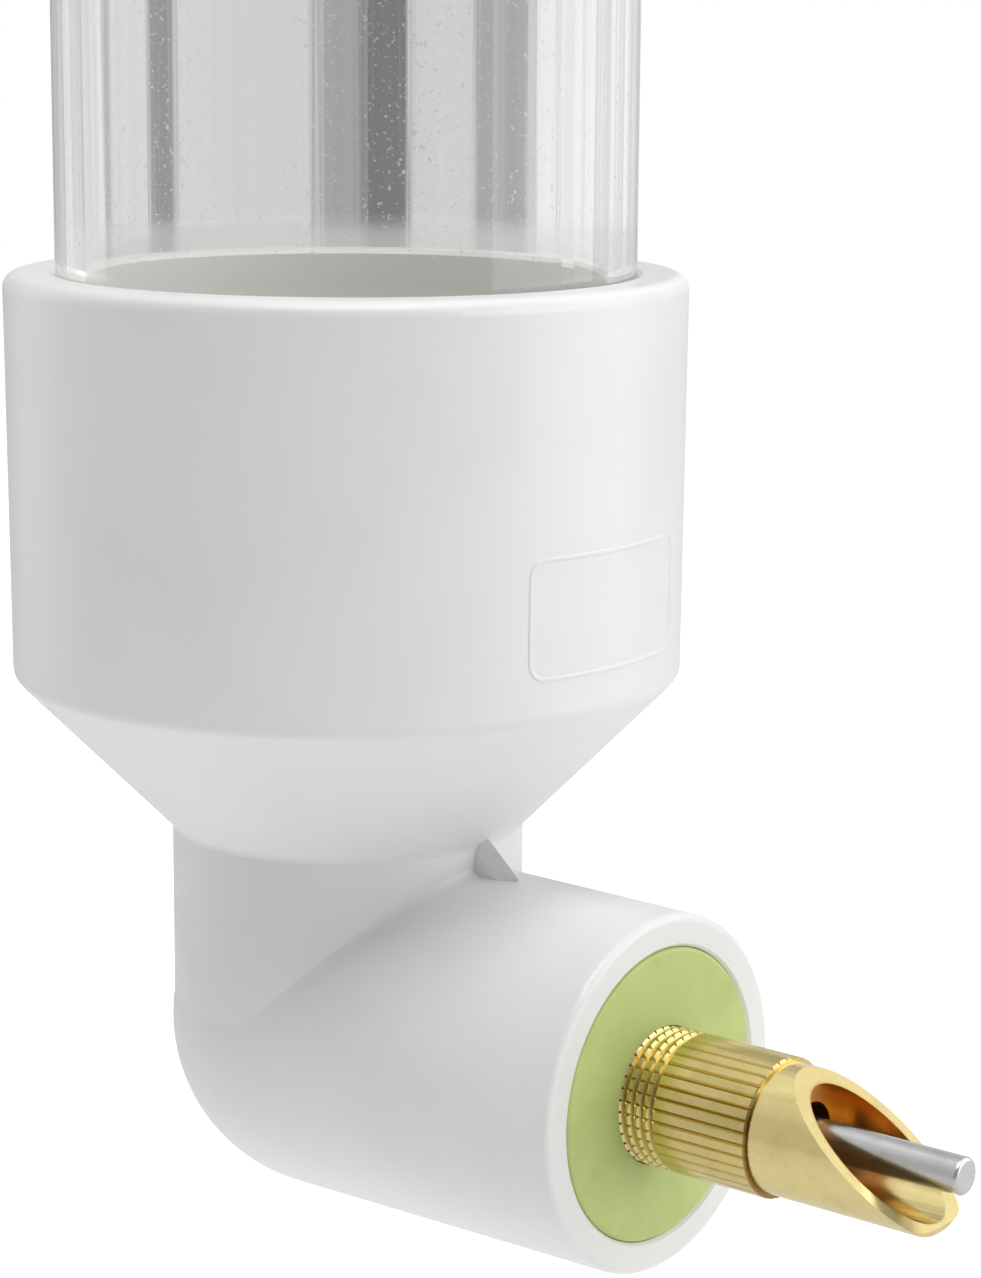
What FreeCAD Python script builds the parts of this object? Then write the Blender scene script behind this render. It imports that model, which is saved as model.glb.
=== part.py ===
import FreeCAD, Part
import math
import os
import Sketcher

# Bird water dispenser: a clear reservoir tube stands in a white reducing elbow, and a rubber bung
# in the elbow's arm holds a brass drinking nipple with a sprung pin.
# The tube's axis is Z, with the socket's rim at Z = 0, and the arm points along X. All in millimetres.

SIZES = {
    # reservoir tube
    "tube_diameter": 40.0,
    "tube_wall": 2.0,
    "tube_bare_length": 104.0,
    "tube_end_taper": 0.15,
    # large socket and cone of the elbow
    "socket_depth": 26.0,
    "socket_wall": 3.5,
    "socket_clearance": 0.1,
    "socket_draft": 0.2,
    "socket_floor": 1.7,
    "socket_foot_round": 1.2,
    "socket_lead_in": 0.3,
    "rim_round": 1.0,
    "cone_height": 11.1,
    "throat_land": 1.0,
    "throat_lift": 1.9,
    # neck, ball corner and arm of the elbow
    "neck_bore_diameter": 18.0,
    "neck_wall": 3.45,
    "neck_length": 14.4,
    "neck_root_round": 0.6,
    "ball_swell": 0.15,
    "arm_reach": 28.3,
    "arm_bore_diameter": 17.2,
    "arm_wall": 2.2,
    "arm_root_round": 0.6,
    "mouth_round": 0.5,
    "mouth_lead_in": 0.2,
    "branch_diameter": 20.0,
    "branch_taper": 0.1,
    "branch_depth": 16.0,
    # small web in the inside corner of the elbow
    "gusset_height": 2.9,
    "gusset_length": 3.3,
    "gusset_width": 1.3,
    "gusset_side_angle": 58.0,
    "gusset_root": 1.2,
    # cap on the tube
    "cap_overlap": 22.0,
    "cap_wall": 3.2,
    "cap_top": 3.2,
    "cap_draft": 0.2,
    "cap_round": 2.0,
    "cap_clearance": 0.15,
    "cap_head_gap": 0.3,
    # rubber bung
    "bung_clearance": 0.05,
    "bung_bore_clearance": 0.03,
    "bung_edge_round": 0.3,
    # turned outside of the nipple, measured from the bung's face
    "nipple_diameter": 9.4,
    "nipple_tail": 13.5,
    "nipple_tail_chamfer": 0.5,
    "nipple_step": 10.0,
    "nipple_step_chamfer": 0.12,
    "nipple_nose": 22.0,
    "nose_round": 0.6,
    "knurl_depth": 0.22,
    "knurl_width": 0.27,
    "knurl_start": 1.4,
    "knurl_flutes": 36,
    "step_relief": 0.11,
    "thread_depth": 0.34,
    "thread_width": 0.56,
    "thread_pitch": 0.75,
    "thread_end": 2.45,
    "thread_grooves": 4,
    # scoop and inner bores of the nipple
    "scoop_wall": 0.87,
    "scoop_floor": 12.0,
    "scoop_apex": 11.3,
    "scoop_run": 5.8,
    "pin_hole_diameter": 4.4,
    "seat_place": 5.0,
    "chamber_diameter": 6.6,
    "chamber_back": 9.0,
    "counterbore_diameter": 7.5,
    # valve inside the nipple
    "pin_diameter": 2.5,
    "pin_reach": 23.7,
    "pin_tip_round": 0.25,
    "head_clearance": 0.4,
    "head_thickness": 1.2,
    "seal_thickness": 1.5,
    "seal_clearance": 0.1,
    "seal_bore_clearance": 0.45,
    "seal_round": 0.3,
    "seat_gap": 0.05,
    "spring_wire": 0.6,
    "spring_coil_diameter": 4.8,
    "spring_turns": 6,
    "spring_gap": 0.05,
    "filter_thickness": 0.6,
    "filter_hole": 0.7,
    "filter_hole_spacing": 1.2,
    "retainer_length": 3.0,
    "retainer_bore": 4.6,
    "retainer_slot_width": 0.9,
    "retainer_slot_depth": 0.8,
    "tail_fit": 0.03,
    # how far a cutting outline runs past the surface that it cuts
    "cut_over": 1.0,
}

doc = FreeCAD.newDocument("BirdWaterDispenser")
sheet = doc.addObject("Spreadsheet::Sheet", "Sizes")
for row, (alias, number) in enumerate(SIZES.items(), start=1):
    sheet.set(f"A{row}", alias.replace("_", " "))
    sheet.set(f"B{row}", str(number))
    sheet.setAlias(f"B{row}", alias)
doc.recompute()

# Places and radii that several pieces share, as expressions on the sizes
TUBE_RADIUS = "(Sizes.tube_diameter / 2)"
TUBE_BORE = f"({TUBE_RADIUS} - Sizes.tube_wall)"
TUBE_END = f"({TUBE_RADIUS} - Sizes.tube_end_taper)"
SOCKET_MOUTH = f"({TUBE_RADIUS} + Sizes.socket_clearance)"
SOCKET_ROOT = f"({TUBE_END} + Sizes.socket_clearance)"
SOCKET_OUTSIDE = f"({SOCKET_MOUTH} + Sizes.socket_wall)"
CONE_TOP = "(Sizes.socket_depth + Sizes.socket_floor)"
CONE_END = f"({CONE_TOP} + Sizes.cone_height)"
ARM_DROP = f"({CONE_END} + Sizes.neck_length)"
NECK_BORE = "(Sizes.neck_bore_diameter / 2)"
NECK_RADIUS = f"({NECK_BORE} + Sizes.neck_wall)"
BALL_RADIUS = f"({NECK_RADIUS} + Sizes.ball_swell)"
BRANCH_MOUTH = "(Sizes.branch_diameter / 2 + Sizes.bung_clearance)"
BRANCH_ROOT = f"({BRANCH_MOUTH} - Sizes.branch_taper)"
MOUTH_RADIUS = f"({BRANCH_MOUTH} + Sizes.arm_wall)"
# The arm's straight side leaves the ball at this angle above the arm's axis, without a crease
ARM_RUN = "(Sizes.arm_reach - Sizes.mouth_round)"
ARM_TOUCH = f"(atan2({MOUTH_RADIUS}; {ARM_RUN}) + acos({BALL_RADIUS} / hypot({ARM_RUN}; {MOUTH_RADIUS})))"
NIPPLE_RADIUS = "(Sizes.nipple_diameter / 2)"
SMOOTH_RADIUS = f"({NIPPLE_RADIUS} - Sizes.knurl_depth - Sizes.step_relief)"
SCOOP_RADIUS = f"({SMOOTH_RADIUS} - Sizes.scoop_wall)"
CHAMBER_RADIUS = "(Sizes.chamber_diameter / 2)"
TAIL_BORE = "(Sizes.counterbore_diameter / 2)"
TAIL_FIT_RADIUS = f"({TAIL_BORE} - Sizes.tail_fit)"
PIN_RADIUS = "(Sizes.pin_diameter / 2)"
SEAL_BACK = "(Sizes.seat_place - Sizes.seal_thickness)"
HEAD_FRONT = f"({SEAL_BACK} - Sizes.seat_gap)"
HEAD_BACK = f"({HEAD_FRONT} - Sizes.head_thickness)"
FILTER_BACK = "(-Sizes.chamber_back - Sizes.filter_thickness)"
RETAINER_BACK = f"({FILTER_BACK} - Sizes.retainer_length)"

# The side of an arc's chord on which its centre lies, seen along the way of the outline
LEFT = 1
RIGHT = -1


def measure(expression):
    """The present value of an expression on the sizes."""
    return float(sheet.evalExpression(expression))


def new_piece(name):
    """A body for one piece, in its own frame."""
    body = doc.addObject("PartDesign::Body", name)
    body.Label = name
    return body


def place(body, along="0", up="0"):
    """Binds where a piece stands: along the arm, and up the tube's axis."""
    body.setExpression("Placement.Base.x", along)
    body.setExpression("Placement.Base.z", up)


def place_in_arm(body):
    """Stands a piece with its zero at the arm's mouth face, on the arm's axis."""
    place(body, "Sizes.arm_reach", f"-{ARM_DROP}")


def new_sketch(body, name, plane, raised=None, forward=None):
    """An empty sketch on one of the body's planes, raised in its plane or moved forward off it."""
    sketch = body.newObject("Sketcher::SketchObject", name)
    feature = next(item for item in body.Origin.OriginFeatures if item.Role == plane)
    sketch.AttachmentSupport = [(feature, "")]
    sketch.MapMode = "FlatFace"
    if raised:
        sketch.setExpression("AttachmentOffset.Base.y", raised)
    if forward:
        sketch.setExpression("AttachmentOffset.Base.z", forward)
    return sketch


def bind(sketch, kind, parts, expression):
    """Adds a dimension to the sketch and binds it to an expression."""
    number = sketch.addConstraint(Sketcher.Constraint(kind, *parts, measure(expression)))
    sketch.setExpression(f"Constraints[{number}]", expression)


def arc_edge(first, last, radius, side):
    """The shorter arc between two corners."""
    chord = last - first
    across = FreeCAD.Vector(-chord.y, chord.x, 0).normalize()
    reach = math.sqrt(radius ** 2 - chord.Length ** 2 / 4)
    centre = (first + last) / 2 + across * reach * side
    start, end = (first, last) if side == LEFT else (last, first)
    start_angle = math.atan2(start.y - centre.y, start.x - centre.x)
    end_angle = math.atan2(end.y - centre.y, end.x - centre.x)
    if end_angle < start_angle:
        end_angle += 2 * math.pi
    circle = Part.Circle(centre, FreeCAD.Vector(0, 0, 1), radius)
    return Part.ArcOfCircle(circle, start_angle, end_angle)


def outline(sketch, corners):
    """Draws a closed outline through corners, each a pair of expressions.

    A corner with a third and fourth entry is reached by an arc of that radius, with its centre on
    that side of the way.
    """
    places = [FreeCAD.Vector(measure(corner[0]), measure(corner[1]), 0) for corner in corners]
    starts = []
    ends = []
    count = len(corners)
    for index in range(count):
        following = (index + 1) % count
        first, last, target = places[index], places[following], corners[following]
        if len(target) > 2:
            edge = arc_edge(first, last, measure(target[2]), target[3])
            number = sketch.addGeometry(edge, False)
            bind(sketch, "Radius", (number,), target[2])
            starts.append((number, 1 if target[3] == LEFT else 2))
            ends.append((number, 2 if target[3] == LEFT else 1))
        else:
            number = sketch.addGeometry(Part.LineSegment(first, last), False)
            starts.append((number, 1))
            ends.append((number, 2))
    for index, corner in enumerate(corners):
        sketch.addConstraint(Sketcher.Constraint("Coincident", *ends[index - 1], *starts[index]))
        bind(sketch, "DistanceX", (-1, 1, *starts[index]), corner[0])
        bind(sketch, "DistanceY", (-1, 1, *starts[index]), corner[1])


def ring_of_holes(sketch, centres, radius):
    """Draws equal circles at centres, each a pair of expressions."""
    for across, up in centres:
        centre = FreeCAD.Vector(measure(across), measure(up), 0)
        circle = Part.Circle(centre, FreeCAD.Vector(0, 0, 1), measure(radius))
        number = sketch.addGeometry(circle, False)
        bind(sketch, "Radius", (number,), radius)
        bind(sketch, "DistanceX", (-1, 1, number, 3), across)
        bind(sketch, "DistanceY", (-1, 1, number, 3), up)


def turn(body, name, corners, kind="Revolution", axis="H_Axis", raised=None):
    """Turns an outline about an axis of its own sketch, as solid or as a groove."""
    sketch = new_sketch(body, f"{name}_outline", "XZ_Plane", raised)
    outline(sketch, corners)
    feature = body.newObject(f"PartDesign::{kind}", name)
    feature.Profile = sketch
    feature.ReferenceAxis = (sketch, [axis])
    feature.Angle = 360
    sketch.Visibility = False
    doc.recompute()
    return feature


def extrude(body, name, sketch, kind, length, symmetric=False, backwards=False):
    """Pads or pockets a sketch by a bound length."""
    feature = body.newObject(f"PartDesign::{kind}", name)
    feature.Profile = sketch
    feature.setExpression("Length", length)
    if symmetric:
        feature.SideType = "Symmetric"
    feature.Reversed = backwards
    sketch.Visibility = False
    doc.recompute()
    return feature


def repeat(body, name, kind, original, axis_sketch, axis):
    """Repeats one feature round or along an axis of a sketch, and makes that the body's result."""
    feature = body.newObject(f"PartDesign::{kind}", name)
    feature.Originals = [original]
    reference = (axis_sketch, [axis])
    if kind == "PolarPattern":
        feature.Axis = reference
        feature.Angle = 360
    else:
        feature.Direction = reference
    body.Tip = feature
    return feature


def round_edges(body, name, radius, wanted):
    """Rounds the edges of the body's present shape that the test picks."""
    base = body.Tip
    names = [f"Edge{number}" for number, edge in enumerate(base.Shape.Edges, start=1) if wanted(edge)]
    feature = body.newObject("PartDesign::Fillet", name)
    feature.Base = (base, names)
    feature.setExpression("Radius", radius)
    doc.recompute()
    return feature


def ring_at(height, radius):
    """Picks full circles about Z at a height and radius given as expressions."""
    level, size = measure(height), measure(radius)

    def wanted(edge):
        if edge.Degenerated or not isinstance(edge.Curve, Part.Circle):
            return False
        return abs(edge.Curve.Center.z - level) < 0.01 and abs(edge.Curve.Radius - size) < 0.01

    return wanted


def crossing_of_neck_and_arm(edge):
    """Picks the seam round the neck's foot, where the ball corner and the arm leave it."""
    if edge.Degenerated or edge.BoundBox.YLength < measure("Sizes.neck_wall"):
        return False
    middle = edge.valueAt(sum(edge.ParameterRange) / 2)
    on_neck = abs(math.hypot(middle.x, middle.y) - measure(NECK_RADIUS)) < 0.01
    below_root = middle.z < measure(f"-{CONE_END} - Sizes.neck_root_round") - 0.01
    return on_neck and below_root and middle.z > -measure(ARM_DROP) + 0.01


def reducing_elbow():
    """White moulding: socket for the tube, cone, neck, ball corner, arm and a small web."""
    body = new_piece("reducing_elbow")
    foot = f"({SOCKET_OUTSIDE} - Sizes.socket_draft)"
    turn(body, "socket_cone_and_neck", [
        ("0", "0"),
        (f"{SOCKET_OUTSIDE} - Sizes.rim_round", "0"),
        (SOCKET_OUTSIDE, "-Sizes.rim_round", "Sizes.rim_round", RIGHT),
        (foot, f"-{CONE_TOP}"),
        (NECK_RADIUS, f"-{CONE_END}"),
        (NECK_RADIUS, f"-{ARM_DROP}"),
        ("0", f"-{ARM_DROP}"),
    ], axis="V_Axis")
    round_edges(body, "socket_foot", "Sizes.socket_foot_round", ring_at(f"-{CONE_TOP}", foot))
    round_edges(body, "neck_root", "Sizes.neck_root_round", ring_at(f"-{CONE_END}", NECK_RADIUS))
    turn(body, "ball_corner_and_arm", [
        (f"-{BALL_RADIUS}", "0"),
        (f"{BALL_RADIUS} * cos({ARM_TOUCH})", f"{BALL_RADIUS} * sin({ARM_TOUCH})", BALL_RADIUS, RIGHT),
        (ARM_RUN, MOUTH_RADIUS),
        ("Sizes.arm_reach", f"{MOUTH_RADIUS} - Sizes.mouth_round", "Sizes.mouth_round", RIGHT),
        ("Sizes.arm_reach", "0"),
    ], raised=f"-{ARM_DROP}")
    round_edges(body, "arm_root", "Sizes.arm_root_round", crossing_of_neck_and_arm)
    web = new_sketch(body, "gusset_outline", "XZ_Plane", raised=f"-{ARM_DROP}")
    outline(web, [
        (f"{NECK_RADIUS} - Sizes.gusset_root", f"{BALL_RADIUS} - Sizes.gusset_root"),
        (f"{NECK_RADIUS} + Sizes.gusset_length", f"{BALL_RADIUS} - Sizes.gusset_root"),
        (f"{NECK_RADIUS} + Sizes.gusset_length", BALL_RADIUS),
        (NECK_RADIUS, f"{BALL_RADIUS} + Sizes.gusset_height"),
        (f"{NECK_RADIUS} - Sizes.gusset_root", f"{BALL_RADIUS} + Sizes.gusset_height"),
    ])
    gusset = extrude(body, "gusset", web, "Pad", "Sizes.gusset_width", symmetric=True)
    gusset.setExpression("TaperAngle", "-Sizes.gusset_side_angle")
    doc.recompute()
    turn(body, "tube_socket_and_throat", [
        ("0", "Sizes.cut_over"),
        (f"{SOCKET_MOUTH} + Sizes.socket_lead_in", "Sizes.cut_over"),
        (f"{SOCKET_MOUTH} + Sizes.socket_lead_in", "0"),
        (SOCKET_MOUTH, "-Sizes.socket_lead_in"),
        (SOCKET_ROOT, "-Sizes.socket_depth"),
        (TUBE_BORE, "-Sizes.socket_depth"),
        (TUBE_BORE, "-Sizes.socket_depth - Sizes.throat_land"),
        (NECK_BORE, f"-{CONE_END} + Sizes.throat_lift"),
        (NECK_BORE, f"-{ARM_DROP}"),
        ("0", f"-{ARM_DROP} - {NECK_BORE}", NECK_BORE, RIGHT),
    ], kind="Groove", axis="V_Axis")
    arm_bore = "(Sizes.arm_bore_diameter / 2)"
    shoulder = "Sizes.arm_reach - Sizes.branch_depth"
    turn(body, "arm_bore_and_socket", [
        ("0", "0"),
        ("0", arm_bore),
        (shoulder, arm_bore),
        (shoulder, BRANCH_ROOT),
        ("Sizes.arm_reach - Sizes.mouth_lead_in", BRANCH_MOUTH),
        ("Sizes.arm_reach", f"{BRANCH_MOUTH} + Sizes.mouth_lead_in"),
        ("Sizes.arm_reach + Sizes.cut_over", f"{BRANCH_MOUTH} + Sizes.mouth_lead_in"),
        ("Sizes.arm_reach + Sizes.cut_over", "0"),
    ], kind="Groove", raised=f"-{ARM_DROP}")
    return body


def reservoir_tube():
    """Clear tube, its two ends slightly eased so that they seat in the socket and the cap."""
    body = new_piece("reservoir_tube")
    top = "Sizes.tube_bare_length + Sizes.cap_overlap"
    turn(body, "tube_wall_turned", [
        (TUBE_BORE, "-Sizes.socket_depth"),
        (TUBE_END, "-Sizes.socket_depth"),
        (TUBE_RADIUS, "0"),
        (TUBE_RADIUS, "Sizes.tube_bare_length"),
        (TUBE_END, top),
        (TUBE_BORE, top),
    ], axis="V_Axis")
    return body


def top_cap():
    """Plain cap over the tube's top end, its zero at its lower edge."""
    body = new_piece("top_cap")
    mouth = f"({TUBE_RADIUS} + Sizes.cap_clearance)"
    root = f"({TUBE_END} + Sizes.cap_clearance)"
    outside = f"({mouth} + Sizes.cap_wall)"
    crown = f"({outside} - Sizes.cap_draft)"
    ceiling = "(Sizes.cap_overlap + Sizes.cap_head_gap)"
    roof = f"({ceiling} + Sizes.cap_top)"
    turn(body, "cap_shell", [
        (mouth, "0"),
        (outside, "0"),
        (crown, f"{roof} - Sizes.cap_round"),
        (f"{crown} - Sizes.cap_round", roof, "Sizes.cap_round", LEFT),
        ("0", roof),
        ("0", ceiling),
        (root, ceiling),
    ], axis="V_Axis")
    place(body, up="Sizes.tube_bare_length")
    return body


def rubber_bung():
    """Bung in the arm's socket, bored for the nipple, its zero at its front face."""
    body = new_piece("rubber_bung")
    bore = f"({NIPPLE_RADIUS} + Sizes.bung_bore_clearance)"
    front = f"({BRANCH_MOUTH} - Sizes.bung_clearance)"
    back = f"({BRANCH_ROOT} - Sizes.bung_clearance)"
    turn(body, "bung_ring", [
        ("-Sizes.branch_depth", bore),
        ("-Sizes.branch_depth", back),
        ("-Sizes.bung_edge_round", front),
        ("0", f"{front} - Sizes.bung_edge_round", "Sizes.bung_edge_round", RIGHT),
        ("0", bore),
    ])
    place_in_arm(body)
    return body


def nipple_body():
    """Turned brass body: fluted grip crossed by thread grooves, a step, and an oblique scoop."""
    body = new_piece("nipple_body")
    step, nose = "Sizes.nipple_step", "Sizes.nipple_nose"
    turned = turn(body, "turned_body", [
        ("-Sizes.nipple_tail", TAIL_BORE),
        ("-Sizes.nipple_tail", f"{NIPPLE_RADIUS} - Sizes.nipple_tail_chamfer"),
        ("-Sizes.nipple_tail + Sizes.nipple_tail_chamfer", NIPPLE_RADIUS),
        (f"{step} - Sizes.nipple_step_chamfer", NIPPLE_RADIUS),
        (step, f"{NIPPLE_RADIUS} - Sizes.nipple_step_chamfer"),
        (step, SMOOTH_RADIUS),
        (f"{nose} - Sizes.nose_round", SMOOTH_RADIUS),
        (nose, f"{SMOOTH_RADIUS} - Sizes.nose_round", "Sizes.nose_round", RIGHT),
        (nose, SCOOP_RADIUS),
        ("Sizes.scoop_floor", SCOOP_RADIUS),
        ("Sizes.scoop_floor", "Sizes.pin_hole_diameter / 2"),
        ("Sizes.seat_place", "Sizes.pin_hole_diameter / 2"),
        ("Sizes.seat_place", CHAMBER_RADIUS),
        ("-Sizes.chamber_back", CHAMBER_RADIUS),
        ("-Sizes.chamber_back", TAIL_BORE),
    ])
    scoop = new_sketch(body, "scoop_outline", "XZ_Plane")
    fall = f"({SMOOTH_RADIUS} / Sizes.scoop_run)"
    front = f"({nose} + Sizes.cut_over)"
    outline(scoop, [
        (f"Sizes.scoop_apex - Sizes.cut_over / {fall}", f"{SMOOTH_RADIUS} + Sizes.cut_over"),
        (front, f"{SMOOTH_RADIUS} - ({front} - Sizes.scoop_apex) * {fall}"),
        (front, f"{SMOOTH_RADIUS} + Sizes.cut_over"),
    ])
    extrude(body, "scoop", scoop, "Pocket", "Sizes.nipple_diameter", symmetric=True)
    flute = new_sketch(body, "flute_outline", "YZ_Plane", forward="-Sizes.knurl_start")
    flute_side = "Sizes.knurl_width * (Sizes.knurl_depth + Sizes.step_relief) / Sizes.knurl_depth / 2"
    outline(flute, [
        ("0", f"{NIPPLE_RADIUS} - Sizes.knurl_depth"),
        (flute_side, f"{NIPPLE_RADIUS} + Sizes.step_relief"),
        (f"-{flute_side}", f"{NIPPLE_RADIUS} + Sizes.step_relief"),
    ])
    first_flute = extrude(body, "first_flute", flute, "Pocket",
                          f"Sizes.knurl_start + {step} + Sizes.step_relief", backwards=True)
    flutes = repeat(body, "flutes", "PolarPattern", first_flute, flute, "N_Axis")
    flutes.setExpression("Occurrences", "Sizes.knurl_flutes")
    doc.recompute()
    groove_top = f"{NIPPLE_RADIUS} + Sizes.step_relief"
    groove_side = "Sizes.thread_width * (Sizes.thread_depth + Sizes.step_relief) / Sizes.thread_depth / 2"
    first_groove = turn(body, "first_thread_groove", [
        (f"Sizes.thread_end - {groove_side}", groove_top),
        ("Sizes.thread_end", f"{NIPPLE_RADIUS} - Sizes.thread_depth"),
        (f"Sizes.thread_end + {groove_side}", groove_top),
    ], kind="Groove")
    grooves = repeat(body, "thread_grooves", "LinearPattern", first_groove, first_groove.Profile[0], "H_Axis")
    grooves.Reversed = True
    grooves.setExpression("Occurrences", "Sizes.thread_grooves")
    grooves.setExpression("Length", "Sizes.thread_pitch * (Sizes.thread_grooves - 1)")
    doc.recompute()
    print("nipple: turned", round(turned.Shape.Volume, 2), "finished", round(body.Shape.Volume, 2))
    place_in_arm(body)
    return body


def valve_pin():
    """Stainless pin with a flat head that closes the seat, its tip just past the scoop."""
    body = new_piece("valve_pin")
    head = f"({CHAMBER_RADIUS} - Sizes.head_clearance)"
    turn(body, "pin_and_head", [
        (HEAD_BACK, "0"),
        (HEAD_BACK, head),
        (HEAD_FRONT, head),
        (HEAD_FRONT, PIN_RADIUS),
        ("Sizes.pin_reach - Sizes.pin_tip_round", PIN_RADIUS),
        ("Sizes.pin_reach", f"{PIN_RADIUS} - Sizes.pin_tip_round", "Sizes.pin_tip_round", RIGHT),
        ("Sizes.pin_reach", "0"),
    ])
    place_in_arm(body)
    return body


def valve_seal():
    """Rubber ring between the seat and the pin's head."""
    body = new_piece("valve_seal")
    inside = f"({PIN_RADIUS} + Sizes.seal_bore_clearance)"
    outside = f"({CHAMBER_RADIUS} - Sizes.seal_clearance)"
    rounding = "Sizes.seal_round"
    turn(body, "seal_ring", [
        (f"{SEAL_BACK} + {rounding}", inside),
        (SEAL_BACK, f"{inside} + {rounding}", rounding, RIGHT),
        (SEAL_BACK, f"{outside} - {rounding}"),
        (f"{SEAL_BACK} + {rounding}", outside, rounding, RIGHT),
        (f"Sizes.seat_place - {rounding}", outside),
        ("Sizes.seat_place", f"{outside} - {rounding}", rounding, RIGHT),
        ("Sizes.seat_place", f"{inside} + {rounding}"),
        (f"Sizes.seat_place - {rounding}", inside, rounding, RIGHT),
    ])
    place_in_arm(body)
    return body


def valve_spring():
    """Coil spring from the filter to the pin's head."""
    body = new_piece("valve_spring")
    back = "(-Sizes.chamber_back + Sizes.spring_gap)"
    front = f"({HEAD_BACK} - Sizes.spring_gap)"
    wire = new_sketch(body, "wire_section", "XZ_Plane")
    ring_of_holes(wire, [(f"{back} + Sizes.spring_wire / 2", "Sizes.spring_coil_diameter / 2")],
                  "Sizes.spring_wire / 2")
    coil = body.newObject("PartDesign::AdditiveHelix", "coil")
    coil.Profile = wire
    coil.ReferenceAxis = (wire, ["H_Axis"])
    coil.Mode = "height-turns-angle"
    coil.setExpression("Height", f"{front} - {back} - Sizes.spring_wire")
    coil.setExpression("Turns", "Sizes.spring_turns")
    wire.Visibility = False
    doc.recompute()
    place_in_arm(body)
    return body


def inlet_filter():
    """Perforated disc on the ledge behind the chamber."""
    body = new_piece("inlet_filter")
    disc = new_sketch(body, "disc_outline", "YZ_Plane", forward=FILTER_BACK)
    ring_of_holes(disc, [("0", "0")], TAIL_FIT_RADIUS)
    extrude(body, "disc", disc, "Pad", "Sizes.filter_thickness")
    spacing = "Sizes.filter_hole_spacing"
    centres = [("0", "0")]
    for ring, holes in ((1, 6), (2, 12)):
        for number in range(holes):
            angle = 2 * math.pi * number / holes
            across, up = round(ring * math.cos(angle), 6), round(ring * math.sin(angle), 6)
            centres.append((f"{spacing} * {across}", f"{spacing} * {up}"))
    holes = new_sketch(body, "hole_outlines", "YZ_Plane", forward=FILTER_BACK)
    ring_of_holes(holes, centres, "Sizes.filter_hole / 2")
    extrude(body, "holes", holes, "Pocket", "Sizes.filter_thickness", backwards=True)
    place_in_arm(body)
    return body


def rear_retainer():
    """Ring screwed into the nipple's tail behind the filter, slotted for a driver."""
    body = new_piece("rear_retainer")
    turn(body, "retainer_ring", [
        (RETAINER_BACK, "Sizes.retainer_bore / 2"),
        (RETAINER_BACK, TAIL_FIT_RADIUS),
        (FILTER_BACK, TAIL_FIT_RADIUS),
        (FILTER_BACK, "Sizes.retainer_bore / 2"),
    ])
    slot = new_sketch(body, "slot_outline", "YZ_Plane", forward=RETAINER_BACK)
    half = "Sizes.retainer_slot_width / 2"
    outline(slot, [
        (f"-{half}", f"-Sizes.counterbore_diameter"),
        (half, f"-Sizes.counterbore_diameter"),
        (half, f"Sizes.counterbore_diameter"),
        (f"-{half}", f"Sizes.counterbore_diameter"),
    ])
    extrude(body, "driver_slot", slot, "Pocket", "Sizes.retainer_slot_depth", backwards=True)
    place_in_arm(body)
    return body


def check(item):
    """Stops the build if an object failed."""
    if "Invalid" in item.State or "Error" in item.State:
        raise RuntimeError(f"{item.Label} failed: {item.State}")


pieces = [
    reducing_elbow(),
    reservoir_tube(),
    top_cap(),
    rubber_bung(),
    nipple_body(),
    valve_pin(),
    valve_seal(),
    valve_spring(),
    inlet_filter(),
    rear_retainer(),
]
doc.recompute()
for item in doc.Objects:
    check(item)

os.makedirs("parts", exist_ok=True)
for piece in pieces:
    shape = piece.Shape
    if shape.isNull() or not shape.isValid() or len(shape.Solids) != 1:
        raise RuntimeError(f"{piece.Label} is not one valid solid")
    shape.exportStep(f"parts/{piece.Label}.step")
    box = shape.BoundBox
    print(piece.Label, round(shape.Volume, 2), [round(value, 2) for value in (
        box.XMin, box.XMax, box.YMin, box.YMax, box.ZMin, box.ZMax)])
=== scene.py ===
import math

import bpy
from bpy.props import FloatProperty, FloatVectorProperty, PointerProperty
from bpy.types import Operator, Panel, PropertyGroup
from mathutils import Matrix, Vector


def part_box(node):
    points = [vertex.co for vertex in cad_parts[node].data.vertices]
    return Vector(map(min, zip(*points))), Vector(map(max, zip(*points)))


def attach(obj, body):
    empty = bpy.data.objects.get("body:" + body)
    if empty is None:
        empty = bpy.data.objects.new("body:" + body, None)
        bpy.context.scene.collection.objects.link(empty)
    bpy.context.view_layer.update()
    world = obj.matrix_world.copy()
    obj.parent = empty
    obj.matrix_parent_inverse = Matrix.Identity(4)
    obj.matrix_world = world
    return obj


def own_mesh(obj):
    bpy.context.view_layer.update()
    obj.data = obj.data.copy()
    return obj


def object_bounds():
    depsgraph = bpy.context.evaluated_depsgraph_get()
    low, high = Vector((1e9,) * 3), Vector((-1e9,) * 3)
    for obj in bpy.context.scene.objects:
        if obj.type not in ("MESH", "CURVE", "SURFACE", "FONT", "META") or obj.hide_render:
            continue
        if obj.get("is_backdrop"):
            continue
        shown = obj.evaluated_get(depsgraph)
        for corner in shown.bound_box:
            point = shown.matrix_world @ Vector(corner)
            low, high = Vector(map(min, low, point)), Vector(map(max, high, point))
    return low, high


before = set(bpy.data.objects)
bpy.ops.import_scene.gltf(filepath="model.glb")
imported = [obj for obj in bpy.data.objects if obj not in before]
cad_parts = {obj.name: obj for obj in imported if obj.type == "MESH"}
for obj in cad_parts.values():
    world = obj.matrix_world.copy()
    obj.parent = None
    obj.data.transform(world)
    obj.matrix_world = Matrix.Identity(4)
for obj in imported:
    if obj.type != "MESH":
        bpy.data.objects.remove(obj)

bl_info = {
    "name": "Bird water dispenser",
    "version": (1, 0, 0),
    "blender": (4, 5, 0),
    "location": "3D View > Sidebar > Dispenser",
    "description": "Finishes the pieces of a hanging bird water dispenser and sets up its studio",
    "category": "Object",
}

MM = 0.001

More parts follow.
